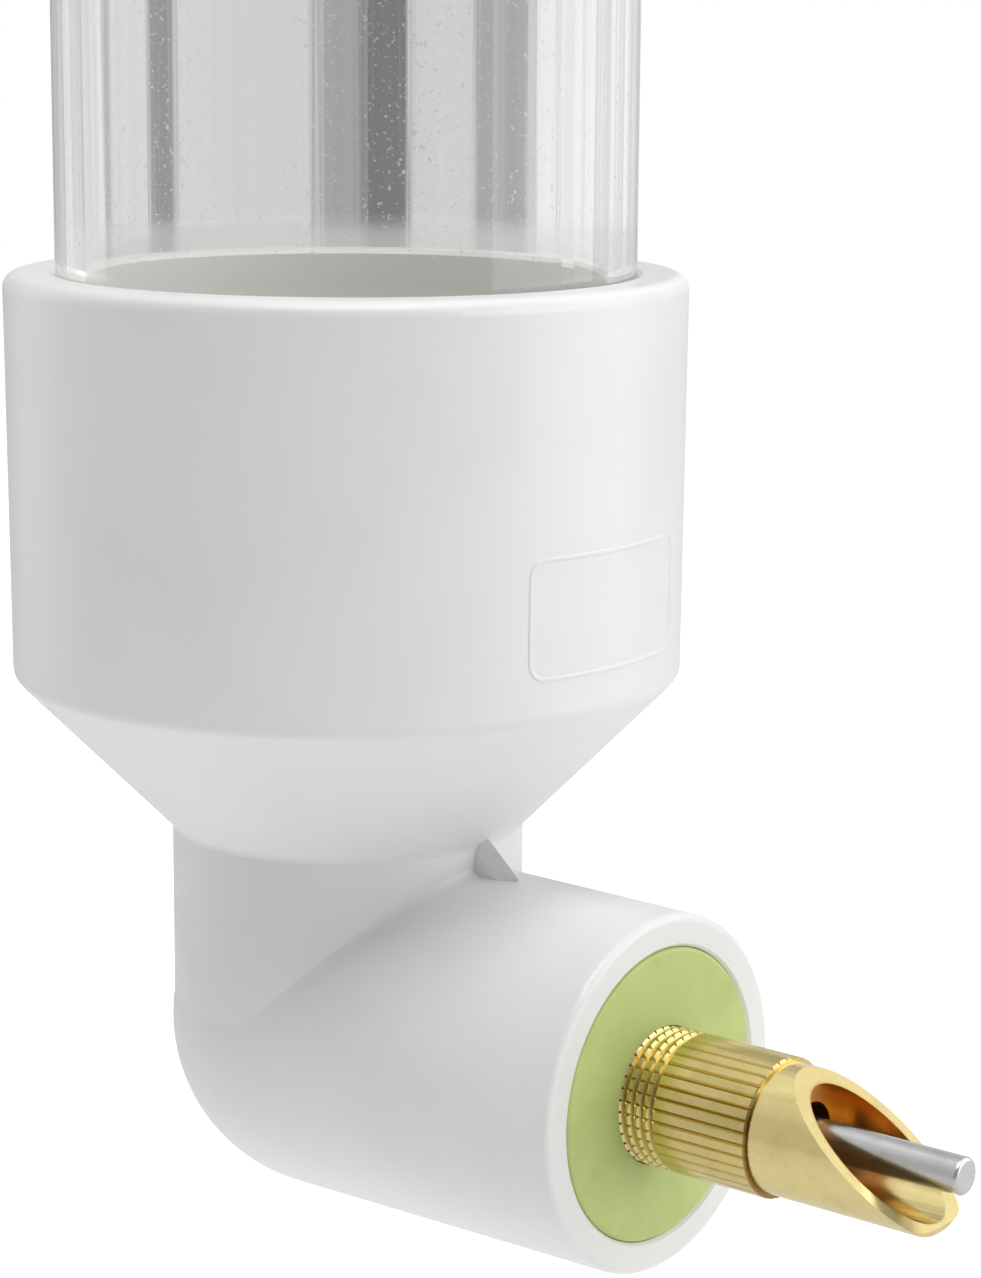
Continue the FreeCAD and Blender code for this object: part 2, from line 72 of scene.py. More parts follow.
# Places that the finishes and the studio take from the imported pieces
NIPPLE_LOW, NIPPLE_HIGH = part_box("nipple_body")
ELBOW_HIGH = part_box("reducing_elbow")[1]
TUBE_LOW, TUBE_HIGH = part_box("reservoir_tube")
TUBE_RADIUS = TUBE_HIGH.y
SOCKET_DEPTH = -TUBE_LOW.z
SOCKET_RIM_RADIUS = ELBOW_HIGH.y
ARM_MOUTH = ELBOW_HIGH.x
ARM_AXIS_HEIGHT = (NIPPLE_LOW.z + NIPPLE_HIGH.z) / 2
NIPPLE_TIP = NIPPLE_HIGH.x
NIPPLE_RADIUS = (NIPPLE_HIGH.z - NIPPLE_LOW.z) / 2

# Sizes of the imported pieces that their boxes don't tell
SOCKET_DRAFT_SLOPE = 0.2 / 28.3
SCOOP_RADIUS = NIPPLE_RADIUS - 1.20 * MM
STEP_PLACE = NIPPLE_TIP - 12.0 * MM
KNURL_LENGTH = 10.0 * MM

# Cross-section of the outline's bead, in shares of its width and of its height above the skin
BEAD_PROFILE = (
    (-0.5, -0.6), (-0.42, 0.35), (-0.2, 0.9), (0.0, 1.0), (0.2, 0.9), (0.42, 0.35), (0.5, -0.6),
)
OUTLINE_CORNER_STEPS = 6
OUTLINE_LONGEST_STRETCH = 0.3 * MM

# The frame of the photograph, and where the tube's axis meets the socket's rim in it
PHOTO_WIDTH = 981
PHOTO_HEIGHT = 1278
ORIGIN_ACROSS = 347.2
ORIGIN_DOWN = 270.4

# The camera's angles in degrees, its sensor's long side in millimetres, and the nearest it sees
VIEW_AZIMUTH = 39.9
VIEW_ELEVATION = 11.12
VIEW_ROLL = 0.376
SENSOR_SIDE = 36.0
NEAREST_SEEN = 0.01

# What the lamps aim at, the lamps' widths and heights, and where they stand from there, in metres:
# to the view's right, towards the camera, and up
LAMP_TARGET = Vector((0.01, 0.0, 0.0))
KEY_SIZE = (0.9, 1.1)
KEY_PLACE = (0.85, 0.05, 0.12)
OVERHEAD_SIZE = (1.2, 1.2)
OVERHEAD_PLACE = (0.0, 0.4, 1.5)
EDGE_SIZE = (0.6, 0.9)
EDGE_PLACE = (-0.8, -0.5, 0.1)
TABLE_SIZE = (0.6, 0.6)
TABLE_LAMP_RISE = 0.01

# The floor: its radius in metres, the corners of its outline, its grey, and the grey that is added
# where metal and clear plastic see it, and where the camera does
FLOOR_RADIUS = 2.4
FLOOR_CORNERS = 96
FLOOR_GREY = (0.62, 0.62, 0.62)
FLOOR_SHINE_LIFT = (0.18, 0.18, 0.18)
FLOOR_CAMERA_LIFT = (0.9, 0.9, 0.9)

# The way the camera looks, and the part of the room behind the tube, in degrees to the right of it
STRAIGHT_BEHIND = math.radians(90.0 + VIEW_AZIMUTH)
BEHIND_START = -16.0
BEHIND_END = 10.0

# Grey cards that only metal and clear plastic see: where each starts and ends, in the same degrees,
# the softness of its edges, and how much it darkens
CARDS_BEHIND = (
    (-11.5, -9.5, 0.5, 0.65),
    (-3.5, -2.0, 0.3, 0.45),
    (-2.0, -0.5, 0.3, 0.75),
    (2.0, 3.5, 0.3, 0.45),
    (3.5, 5.0, 0.3, 0.60),
    (5.0, 6.0, 0.3, 0.30),
)
CARDS_ON_THE_LEFT = (
    (-80.0, -42.0, 2.0, 0.35),
    (-42.0, -21.0, 1.0, 0.12),
    (-20.0, -17.8, 0.5, 0.38),
)

# Which of a Mix node's sockets, several of which share a name, hold its factor and its colours
MIX_FACTOR = 0
MIX_FIRST = 6
MIX_SECOND = 7
MIX_COLOUR = 2


class Socket:
    """One output in a node tree. Arithmetic on it adds the nodes that work the result out."""

    def __init__(self, tree, output):
        self.tree = tree
        self.output = output

    def is_plain(self, other):
        """True if this output and the other value are both single numbers."""
        kinds = [item.output.type for item in (self, other) if isinstance(item, Socket)]
        return all(kind == "VALUE" for kind in kinds) and not isinstance(other, (tuple, Vector))

    def work_out(self, operation, first, second):
        """Adds the Math or Vector Math node for an operation on two values."""
        kind = "ShaderNodeMath"
        if not (self.is_plain(first) and self.is_plain(second)):
            kind = "ShaderNodeVectorMath"
            first, second = spread(first), spread(second)
        return self.tree.node(kind, {"operation": operation}, {0: first, 1: second})

    def __add__(self, other):
        return self.work_out("ADD", self, other)

    def __radd__(self, other):
        return self.work_out("ADD", other, self)

    def __sub__(self, other):
        return self.work_out("SUBTRACT", self, other)

    def __rsub__(self, other):
        return self.work_out("SUBTRACT", other, self)

    def __mul__(self, other):
        return self.work_out("MULTIPLY", self, other)

    def __rmul__(self, other):
        return self.work_out("MULTIPLY", other, self)

    def __truediv__(self, other):
        return self.work_out("DIVIDE", self, other)

    def __rtruediv__(self, other):
        return self.work_out("DIVIDE", other, self)

    def root(self):
        """The square root."""
        return self.tree.node("ShaderNodeMath", {"operation": "SQRT"}, {0: self})

    def larger(self, other):
        """The larger of two values."""
        return self.tree.node("ShaderNodeMath", {"operation": "MAXIMUM"}, {0: self, 1: other})

    def rises(self, start, end):
        """0 up to start, 1 from end on, and smooth in between; start may be the larger."""
        before, after = (0.0, 1.0) if start < end else (1.0, 0.0)
        inputs = {0: self, 1: min(start, end), 2: max(start, end), 3: before, 4: after}
        return self.tree.node("ShaderNodeMapRange", {"interpolation_type": "SMOOTHSTEP"}, inputs)

    def band(self, low, high, edge):
        """1 between low and high, and 0 outside, with soft edges."""
        return self.rises(low - edge, low + edge) * self.rises(high + edge, high - edge)

    def parts(self):
        """The X, Y and Z of a vector."""
        first = self.tree.node("ShaderNodeSeparateXYZ", inputs={0: self})
        return [Socket(self.tree, output) for output in first.output.node.outputs]


def spread(value):
    """A single number as a vector; anything else as it is."""
    return (value, value, value) if isinstance(value, (int, float)) else value


class Tree:
    """The node tree of a material or of the world, written anew."""

    def __init__(self, owner):
        owner.use_nodes = True
        self.nodes = owner.node_tree.nodes
        self.links = owner.node_tree.links
        self.nodes.clear()

    def node(self, kind, settings=None, inputs=None, output=0):
        """Adds a node, makes its settings, feeds its inputs and gives back an output, if any."""
        made = self.nodes.new(kind)
        for name, value in (settings or {}).items():
            setattr(made, name, value)
        for key, value in (inputs or {}).items():
            self.feed(made.inputs[key], value)
        return Socket(self, made.outputs[output]) if made.outputs else None

    def feed(self, target, value):
        """Links an output to an input, or sets the input's own value."""
        if isinstance(value, Socket):
            self.links.new(value.output, target)
        elif target.type == "RGBA" and len(value) == 3:
            target.default_value = (*value, 1.0)
        else:
            target.default_value = value

    def place(self):
        """The point being shaded, in the piece's own frame, in metres."""
        return self.node("ShaderNodeTexCoord", output="Object")

    def noise(self, where, scale, detail=2.0, roughness=0.5):
        """Cloudy noise between 0 and 1, at a scale in cells for each unit of length."""
        inputs = {"Vector": where, "Scale": scale, "Detail": detail, "Roughness": roughness}
        return self.node("ShaderNodeTexNoise", {"normalize": True}, inputs)

    def blend(self, factor, first, second):
        """A colour between two, by a factor that is 0 at the first."""
        inputs = {MIX_FACTOR: factor, MIX_FIRST: first, MIX_SECOND: second}
        return self.node("ShaderNodeMix", {"data_type": "RGBA"}, inputs, output=MIX_COLOUR)

    def vector(self, across, along, up):
        """A vector from its X, Y and Z."""
        return self.node("ShaderNodeCombineXYZ", inputs={0: across, 1: along, 2: up})

    def bump(self, height, depth):
        """A normal bent by a height between 0 and 1 that stands for a depth in metres."""
        inputs = {"Strength": 1.0, "Distance": depth, "Height": height}
        return self.node("ShaderNodeBump", inputs=inputs)

    def ray(self, kind):
        """1 for light rays of a kind, such as Is Shadow Ray, and 0 for the others."""
        return self.node("ShaderNodeLightPath", output=kind)

    def by_ray(self, camera, shine, others):
        """One colour for the camera, one for metal and clear plastic, one for all other light."""
        shining = self.ray("Is Glossy Ray").larger(self.ray("Is Transmission Ray"))
        return self.blend(self.ray("Is Camera Ray"), self.blend(shining, others, shine), camera)

    def surface(self, shader):
        """Gives a material its finished shader."""
        self.node("ShaderNodeOutputMaterial", inputs={"Surface": shader})


def new_material(name):
    """An empty material and its tree."""
    material = bpy.data.materials.new(name)
    return material, Tree(material)


def finish_node(name, material):
    """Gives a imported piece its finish."""
    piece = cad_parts[name]
    if not piece.material_slots:
        piece.data.materials.append(material)
    for slot in piece.material_slots:
        slot.material = material


def colour(name, description, value):
    """A colour that the user may change."""
    return FloatVectorProperty(
        name=name, description=description, default=value, size=3, min=0.0, max=1.0,
        subtype="COLOR")


def share(name, description, value):
    """A plain number between 0 and 1 that the user may change."""
    return FloatProperty(name=name, description=description, default=value, min=0.0, max=1.0)


def length(name, description, value):
    """A length in metres that the user may change."""
    return FloatProperty(
        name=name, description=description, default=value, min=0.0, precision=6,
        subtype="DISTANCE", unit="LENGTH")


def power(name, description, value):
    """A lamp's power that the user may change."""
    return FloatProperty(name=name, description=description, default=value, unit="POWER")


def angle(name, description, degrees):
    """An angle, given in degrees, that the user may change."""
    return FloatProperty(
        name=name, description=description, default=math.radians(degrees), unit="ROTATION")


class PlasticFinish(PropertyGroup):
    """Moulded white plastic of the elbow and the cap."""

    base: colour("Colour", "Colour of the moulded plastic", (0.85, 0.86, 0.85))
    cloud: colour("Cloud", "Colour that clouds the plastic a little", (0.825, 0.835, 0.82))
    # Painted light: the paler beige colour inside the socket stands in for light bounced round
    # inside it
    inner: colour("Inner", "Colour of the clean plastic inside the socket", (0.95, 0.945, 0.90))
    # Painted highlight: the paler colour on the rim's flat top stands in for the light falling on
    # it from above
    rim: colour("Rim", "Colour of the clean plastic on the socket's rim", (0.955, 0.96, 0.955))
    gloss_roughness: share("Roughness", "Mean roughness of the skin", 0.34)
    grain_depth: length("Grain depth", "Depth of the mould's fine grain", 0.003 * MM)
    ripple_depth: length("Ripple depth", "Depth of the slow waves in the skin", 0.006 * MM)


class OutlineSizes(PropertyGroup):
    """The plain raised outline that the mould leaves on the socket, above the arm."""

    width: length("Width", "Width round the socket", 15.9 * MM)
    height: length("Height", "Height along the socket", 7.9 * MM)
    corner: length("Corner radius", "Radius of the outline's corners", 1.2 * MM)
    bead_width: length("Bead width", "Width of the raised line", 0.36 * MM)
    bead_height: length("Bead height", "Height of the raised line above the skin", 0.06 * MM)
    drop: length("Drop", "Distance from the socket's rim to the outline's top", 16.9 * MM)
    aside: length("Aside", "Distance from above the arm round to the outline's middle", 0.8 * MM)


class TubeFinish(PropertyGroup):
    """Clear drawn tube."""

    tint: colour("Tint", "Colour of the clear wall", (0.975, 0.985, 0.975))
    shade: colour("Shade", "Colour of the light that falls through the wall", (0.997, 1.0, 0.997))
    refraction: FloatProperty(
        name="Refractive index", description="Index of the clear plastic", default=1.49)
    line_depth: length("Line depth", "Depth of the long lines from drawing", 0.004 * MM)
    haze: share("Haze", "Mean roughness of the tube's skin", 0.02)


class RubberFinish(PropertyGroup):
    """Rubber of the bung and of the valve's ring."""

    base: colour("Colour", "Colour of the rubber", (0.54, 0.64, 0.23))
    cloud: colour("Cloud", "Colour that clouds the rubber", (0.49, 0.58, 0.20))
    ring: colour("Ring", "Colour of the valve's ring", (0.022, 0.022, 0.022))
    ring_cloud: colour("Ring cloud", "Colour that clouds the ring", (0.035, 0.035, 0.034))
    grain_depth: length("Grain depth", "Depth of the rubber's fine grain", 0.010 * MM)


class BrassFinish(PropertyGroup):
    """Turned brass of the nipple and its retaining ring."""

    base: colour("Colour", "Colour of clean brass", (0.88, 0.73, 0.34))
    tarnish: colour("Tarnish", "Colour of the brass where it has dulled", (0.46, 0.35, 0.09))
    # Painted shade: the darker orange brass inside the mouth stands in for the shade inside the
    # bore
    bore_painted_shade: colour("Bore", "Colour of the brass inside the mouth", (0.76, 0.49, 0.18))
    # Painted shade: the dark brown in the corner of the step stands in for the shadow there,
    # stronger below than on top
    painted_step_shade: colour("Grime", "Colour of the grime in the corner of the step", (0.26, 0.14, 0.04))
    gloss_roughness: share("Roughness", "Mean roughness of the turned brass", 0.22)
    line_depth: length("Line depth", "Depth of the turning lines", 0.0015 * MM)


class SteelFinish(PropertyGroup):
    """Stainless steel of the pin, the spring and the filter."""

    base: colour("Colour", "Colour of the steel", (0.65, 0.65, 0.65))
    gloss_roughness: share("Roughness", "Mean roughness of the drawn steel", 0.20)
    line_depth: length("Line depth", "Depth of the drawing lines", 0.002 * MM)


class StudioSetup(PropertyGroup):
    """Light, floor and camera."""

    fill: share("Fill", "Level of the even light from all round", 0.34)
    key: power("Key", "Power of the soft lamp on the right", 5.1)
    overhead: power("Overhead", "Power of the soft lamp above", 17.0)
    table: power("Table", "Power of the soft lamp below", 0.62)
    edge: power("Edge", "Power of the soft lamp behind on the left", 1.35)
    floor_drop: length("Floor drop", "Distance from the lowest point down to the floor", 0.14)
    azimuth: angle("Azimuth", "Where the camera stands round the tube", VIEW_AZIMUTH)
    elevation: angle("Elevation", "How far the camera looks down", VIEW_ELEVATION)
    roll: angle("Roll", "Turn of the camera about its view", VIEW_ROLL)
    distance: length("Distance", "Depth of the rim's centre in front of the camera", 0.228)
    lens: FloatProperty(
        name="Lens", description="Focal length for a frame 36 mm high", default=93.08,
        unit="CAMERA")


def moulded_plastic(name, finish):
    """White plastic with slow ripples, a fine grain and faint clouds, and painted light: paler
    inside the socket and a painted highlight on its rim's flat top.
    """
    material, tree = new_material(name)
    place = tree.place()
    clouds = tree.noise(place, scale=90.0, detail=3.0)
    grain = tree.noise(place, scale=3600.0, detail=1.0)
    ripple = tree.noise(place, scale=160.0, detail=1.0)
    patches = tree.noise(place, scale=420.0, detail=4.0)
    height = grain * finish.grain_depth / finish.ripple_depth + ripple
    across, along, up = place.parts()
    radius = (across * across + along * along).root()
    # The socket's wall inside, from its rim down to the shoulder, gets a paler beige painted light
    # for the light bounced round inside the socket; its flat rim outside the tube gets a paler
    # painted highlight for the light from above
    within = radius.rises(TUBE_RADIUS + 0.5 * MM, TUBE_RADIUS + 0.3 * MM)
    above_shoulder = up.rises(-0.5 * MM - SOCKET_DEPTH, -SOCKET_DEPTH)
    inside = within * above_shoulder * up.rises(0.1 * MM, -0.1 * MM)
    # Mask of the rim's flat top, which gets a painted highlight
    rim = up.band(-0.35 * MM, 0.5 * MM, 0.25 * MM) * (1.0 - within)
    skin = tree.blend(clouds.rises(0.35, 0.75), finish.base, finish.cloud)
    outside = tree.blend(rim, skin, finish.rim)
    shader = tree.node("ShaderNodeBsdfPrincipled", inputs={
        "Base Color": tree.blend(inside, outside, finish.inner),
        "Roughness": finish.gloss_roughness - 0.05 + patches * 0.10,
        "IOR": 1.53,
        "Normal": tree.bump(height, finish.ripple_depth),
    })
    tree.surface(shader)
    return material


def drawn_tube(name, finish):
    """Clear plastic with long lines from drawing and a few specks; lamps shine straight through."""
    material, tree = new_material(name)
    place = tree.place()
    across, along, up = place.parts()
    # A height that is shrunk stretches the noise along the tube
    lengthwise = tree.vector(across, along, up * 0.012)
    lines = tree.noise(lengthwise, scale=700.0, detail=3.0, roughness=0.6)
    smears = tree.noise(tree.vector(across, along, up * 0.3), scale=90.0, detail=3.0)
    specks = tree.noise(place, scale=3000.0, detail=1.0).rises(0.68, 0.74)
    glass = tree.node("ShaderNodeBsdfPrincipled", inputs={
        "Base Color": finish.tint,
        "Roughness": finish.haze * 0.5 + smears * finish.haze + specks * 0.20,
        "IOR": finish.refraction,
        "Transmission Weight": 1.0,
        "Normal": tree.bump(lines, finish.line_depth),
    })
    clear = tree.node("ShaderNodeBsdfTransparent", inputs={"Color": finish.shade})
    straight = tree.ray("Is Shadow Ray").larger(tree.ray("Is Diffuse Ray"))
    tree.surface(tree.node("ShaderNodeMixShader", inputs={0: straight, 1: glass, 2: clear}))
    return material


def grained_rubber(name, base, cloud, grain_depth):
    """Matt rubber with a fine grain and soft clouds."""
    material, tree = new_material(name)
    place = tree.place()
    clouds = tree.noise(place, scale=260.0, detail=4.0, roughness=0.6)
    grain = tree.noise(place, scale=2800.0)
    shader = tree.node("ShaderNodeBsdfPrincipled", inputs={
        "Base Color": tree.blend(clouds.rises(0.35, 0.70), base, cloud),
        "Roughness": 0.55 + grain * 0.15,
        "Normal": tree.bump(grain, grain_depth),
    })
    tree.surface(shader)
    return material


def turned_brass(name, finish):
    """Turned brass: lines round its axis, dulled patches, painted shade in the bore, and painted
    shade in the corner of the step.
    """
    material, tree = new_material(name)
    place = tree.place()
    along, across, up = place.parts()
    raised = up - ARM_AXIS_HEIGHT
    radius = (across * across + raised * raised).root()
    lines = tree.noise(tree.vector(along, radius, 0.0), scale=9000.0, detail=3.0, roughness=0.7)
    patches = tree.noise(place, scale=500.0, detail=4.0, roughness=0.65)
    # Dulled patches, and duller brass on the knurl, most of all in its grooves
    knurled = along.band(ARM_MOUTH, ARM_MOUTH + KNURL_LENGTH, 0.05 * MM)
    floors = knurled * radius.rises(NIPPLE_RADIUS - 0.05 * MM, NIPPLE_RADIUS - 0.26 * MM)
    dulled = patches.rises(0.40, 0.80) * 0.25 + knurled * 0.32
    skin = tree.blend(dulled.larger(floors * 0.85), finish.base, finish.tarnish)
    # The bore gets painted shade, a darker, more orange brass that stands in for the shade and the
    # light bounced inside it, inward from the tip and sooner on the scoop's floor
    inside = radius.rises(SCOOP_RADIUS + 0.12 * MM, SCOOP_RADIUS + 0.04 * MM)
    front = along.rises(NIPPLE_TIP - 7.0 * MM, NIPPLE_TIP - 5.0 * MM)
    below = inside * front * raised.rises(-0.5 * MM, -2.0 * MM)
    inward = (along + below * 3.0 * MM).rises(NIPPLE_TIP - 1.0 * MM, NIPPLE_TIP - 5.0 * MM)
    turned = tree.blend(inside * inward, skin, finish.bore_painted_shade)
    # Painted shade in the corner of the step, darker below than on top, where the shadow falls
    corner = along.band(STEP_PLACE - 0.10 * MM, STEP_PLACE + 0.08 * MM, 0.05 * MM) * (1.0 - inside)
    step_shade_mask = corner * (raised.rises(3.4 * MM, 1.2 * MM) * 0.7 + 0.15)
    roughness = finish.gloss_roughness - 0.04 + patches * 0.10 + floors * 0.10
    shader = tree.node("ShaderNodeBsdfPrincipled", inputs={
        "Base Color": tree.blend(step_shade_mask, turned, finish.painted_step_shade),
        "Metallic": 1.0,
        "Roughness": roughness + inside * 0.06 - below * 0.14,
        "Normal": tree.bump(lines, finish.line_depth),
    })
    tree.surface(shader)
    return material


def drawn_steel(name, finish, stretch):
    """Drawn stainless steel, its lines stretched along one of the piece's directions."""
    material, tree = new_material(name)
    place = tree.place()
    along, across, up = place.parts()
    stretched = tree.vector(along * stretch[0], across * stretch[1], up * stretch[2])
    lines = tree.noise(stretched, scale=5000.0, detail=3.0, roughness=0.6)
    patches = tree.noise(place, scale=900.0, detail=3.0)
    duller = tuple(0.88 * part for part in finish.base)
    shader = tree.node("ShaderNodeBsdfPrincipled", inputs={
        "Base Color": tree.blend(patches.rises(0.4, 0.8), finish.base, duller),
        "Metallic": 1.0,
        "Roughness": finish.gloss_roughness + lines * 0.10,
        "Normal": tree.bump(lines, finish.line_depth),
    })
    tree.surface(shader)
    return material


def rounded_rectangle(width, height, corner, steps):
    """Places and outward directions round a rounded rectangle about its centre."""
    ring = []
    for quarter in range(4):
        middle = Vector((
            (width / 2 - corner) * (1 if quarter in (0, 3) else -1),
            (height / 2 - corner) * (1 if quarter in (0, 1) else -1),
        ))
        for step in range(steps + 1):
            turn = math.pi / 2 * (quarter + step / steps)
            outward = Vector((math.cos(turn), math.sin(turn)))
            ring.append((middle + outward * corner, outward))
    return ring


def subdivided(ring, longest):
    """The ring with its straight runs cut into stretches no longer than longest."""
    fine = []
    for (place, outward), (following, turned) in zip(ring, ring[1:] + ring[:1]):
        pieces = max(1, math.ceil((following - place).length / longest))
        for piece in range(pieces):
            part = piece / pieces
            fine.append((place.lerp(following, part), outward.lerp(turned, part).normalized()))
    return fine


def socket_radius(height):
    """Outside radius of the socket at a height below its rim, with its draft."""
    return SOCKET_RIM_RADIUS + height * SOCKET_DRAFT_SLOPE


class DISPENSER_OT_elbow(Operator):
    """Finishes the moulded elbow in white plastic"""

    bl_idname = "dispenser.elbow"
    bl_label = "Finish the elbow"

    def execute(self, context):
        white = moulded_plastic("moulded_white", context.scene.dispenser_plastic)
        finish_node("reducing_elbow", white)
        return {"FINISHED"}


class DISPENSER_OT_tube(Operator):
    """Finishes the clear tube"""

    bl_idname = "dispenser.tube"
    bl_label = "Finish the tube"

    def execute(self, context):
        finish_node("reservoir_tube", drawn_tube("clear_tube", context.scene.dispenser_tube))
        return {"FINISHED"}


class DISPENSER_OT_cap(Operator):
    """Finishes the cap on the tube"""

    bl_idname = "dispenser.cap"
    bl_label = "Finish the cap"

    def execute(self, context):
        finish_node("top_cap", moulded_plastic("moulded_cap", context.scene.dispenser_plastic))
        return {"FINISHED"}


class DISPENSER_OT_bung(Operator):
    """Finishes the rubber bung and the valve's rubber ring"""

    bl_idname = "dispenser.bung"
    bl_label = "Finish the rubber"

    def execute(self, context):
        finish = context.scene.dispenser_rubber
        green = grained_rubber("green_rubber", finish.base, finish.cloud, finish.grain_depth)
        finish_node("rubber_bung", green)
        black = grained_rubber("black_rubber", finish.ring, finish.ring_cloud, finish.grain_depth)
        finish_node("valve_seal", black)
        return {"FINISHED"}


class DISPENSER_OT_nipple(Operator):
    """Finishes the turned brass body and its retaining ring"""

    bl_idname = "dispenser.nipple"
    bl_label = "Finish the brass"

    def execute(self, context):
        brass = turned_brass("turned_brass", context.scene.dispenser_brass)
        finish_node("nipple_body", brass)
        finish_node("rear_retainer", brass)
        return {"FINISHED"}


class DISPENSER_OT_steel(Operator):
    """Finishes the pin, the spring and the filter in stainless steel"""

    bl_idname = "dispenser.steel"
    bl_label = "Finish the steel"

    def execute(self, context):
        finish = context.scene.dispenser_steel
        lengthwise = (0.02, 1.0, 1.0)
        crosswise = (1.0, 0.05, 1.0)
        finish_node("valve_pin", drawn_steel("drawn_pin", finish, lengthwise))
        finish_node("valve_spring", drawn_steel("spring_wire", finish, crosswise))
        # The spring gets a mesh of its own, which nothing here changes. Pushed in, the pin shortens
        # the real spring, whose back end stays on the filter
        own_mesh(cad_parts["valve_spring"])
        finish_node("inlet_filter", drawn_steel("filter_sheet", finish, crosswise))
        return {"FINISHED"}


class DISPENSER_OT_outline(Operator):
    """Raises the plain rounded outline on the socket above the arm"""

    bl_idname = "dispenser.outline"
    bl_label = "Raise the outline"

    def execute(self, context):
        sizes = context.scene.dispenser_outline
        ring = rounded_rectangle(sizes.width, sizes.height, sizes.corner, OUTLINE_CORNER_STEPS)
        ring = subdivided(ring, OUTLINE_LONGEST_STRETCH)
        points = []
        for place, outward in ring:
            for aside, raised in BEAD_PROFILE:
                spot = place + outward * aside * sizes.bead_width
                height = -sizes.drop - sizes.height / 2 + spot.y
                radius = socket_radius(height)
                turn = (spot.x + sizes.aside) / radius
                out = radius + raised * sizes.bead_height
                points.append((out * math.cos(turn), out * math.sin(turn), height))
        count = len(BEAD_PROFILE)
        faces = []
        for row in range(len(ring)):
            following = (row + 1) % len(ring)
            for column in range(count):
                beside = (column + 1) % count
                faces.append((
                    row * count + column, following * count + column,
                    following * count + beside, row * count + beside))
        mesh = bpy.data.meshes.new("moulded_outline")
        mesh.from_pydata(points, [], faces)
        mesh.update()
        for face in mesh.polygons:
            face.use_smooth = True
        outline = bpy.data.objects.new("moulded_outline", mesh)
        context.scene.collection.objects.link(outline)
        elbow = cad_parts["reducing_elbow"]
        outline.data.materials.append(elbow.material_slots[0].material)
        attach(outline, "dispenser")
        return {"FINISHED"}


def covered(aside, cards):
    """How much a row of grey cards darkens what is behind it, at an angle to the right."""
    total = 0.0
    for start, end, edge, darkness in cards:
        total = aside.band(start, end, edge) * darkness + total
    return total


def studio_world(fill, back):
    """White to the camera, an even light, and a grey room for metal and clear plastic."""
    world = bpy.data.worlds.new("studio_world")
    bpy.context.scene.world = world
    tree = Tree(world)
    direction = tree.node("ShaderNodeTexCoord", output="Generated")
    east, north, up = direction.parts()
    turn = tree.node("ShaderNodeMath", {"operation": "ARCTAN2"}, {0: north, 1: east})
    aside = (STRAIGHT_BEHIND - turn) * (180.0 / math.pi)
    # The room behind the tube: an even grey, paler to the right, with its cards
    behind = (aside.rises(4.0, 7.0) * 0.14 + 0.70) * (1.0 - covered(aside, CARDS_BEHIND))
    # The rest of the room: clouds and slats of grey, darker towards the camera
    upright = tree.vector(east, north, up * 0.15)
    clouds = tree.noise(upright, scale=9.0, detail=3.0, roughness=0.6)
    slats = tree.noise(tree.vector(aside * 0.22, 0.0, 0.0), scale=1.0, roughness=0.6)
    room = (clouds.rises(0.38, 0.62) * 0.2 + 0.66) * (slats.rises(0.35, 0.6) * 0.28 + 0.78)
    toward = tree.node(
        "ShaderNodeVectorMath", {"operation": "DOT_PRODUCT"}, {0: direction, 1: back},
        output="Value")
    lighter = aside.band(18.0, 70.0, 10.0) * 0.15
    leftward = covered(aside, CARDS_ON_THE_LEFT)
    elsewhere = room * (1.0 - toward.rises(0.0, 0.85) * 0.55) * (1.0 - leftward + lighter)
    near = aside.band(BEHIND_START, BEHIND_END, 0.6)
    fine_lines = tree.noise(tree.vector(aside * 3.0, 0.0, 0.0), scale=1.0, roughness=0.6)
    level = tree.blend(near, elsewhere, behind) * (fine_lines * 0.16 + 0.92)
    # Even and pale low down, above the floor's far edge, and a little lighter high up
    level = tree.blend(up.rises(-0.0735, -0.066), level * 0.45 + 0.36, level)
    level = level + up.rises(0.40, 0.62) * 0.08
    shown = tree.by_ray(camera=(1.0, 1.0, 1.0), shine=level, others=(fill, fill, fill))
    background = tree.node("ShaderNodeBackground", inputs={"Color": shown, "Strength": 1.0})
    tree.node("ShaderNodeOutputWorld", inputs={"Surface": background})


def pale_floor(height):
    """Large pale disc under the object; the camera sees it brighter, up to white."""
    rim = []
    for corner in range(FLOOR_CORNERS):
        turn = 2 * math.pi * corner / FLOOR_CORNERS
        rim.append((math.cos(turn) * FLOOR_RADIUS, math.sin(turn) * FLOOR_RADIUS, height))
    mesh = bpy.data.meshes.new("pale_floor")
    mesh.from_pydata(rim, [], [list(range(FLOOR_CORNERS))])
    floor = bpy.data.objects.new("pale_floor", mesh)
    bpy.context.scene.collection.objects.link(floor)
    material, tree = new_material("pale_floor")
    matt = tree.node("ShaderNodeBsdfDiffuse", inputs={"Color": FLOOR_GREY, "Roughness": 0.0})
    lift = tree.by_ray(camera=FLOOR_CAMERA_LIFT, shine=FLOOR_SHINE_LIFT, others=(0.0, 0.0, 0.0))
    glow = tree.node("ShaderNodeEmission", inputs={"Color": lift, "Strength": 1.0})
    tree.surface(tree.node("ShaderNodeAddShader", inputs={0: matt, 1: glow}))
    mesh.materials.append(material)
    floor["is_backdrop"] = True


def soft_lamp(name, watts, size, place):
    """A large soft lamp that stands at a place, aimed at the object, unseen by the camera."""
    data = bpy.data.lights.new(name, "AREA")
    data.shape = "RECTANGLE"
    data.size, data.size_y = size
    data.energy = watts
    lamp = bpy.data.objects.new(name, data)
    lamp.location = place
    lamp.rotation_mode = "QUATERNION"
    lamp.rotation_quaternion = (LAMP_TARGET - place).to_track_quat("-Z", "Y")
    lamp.visible_camera = False
    lamp.visible_transmission = False
    bpy.context.scene.collection.objects.link(lamp)
    return lamp


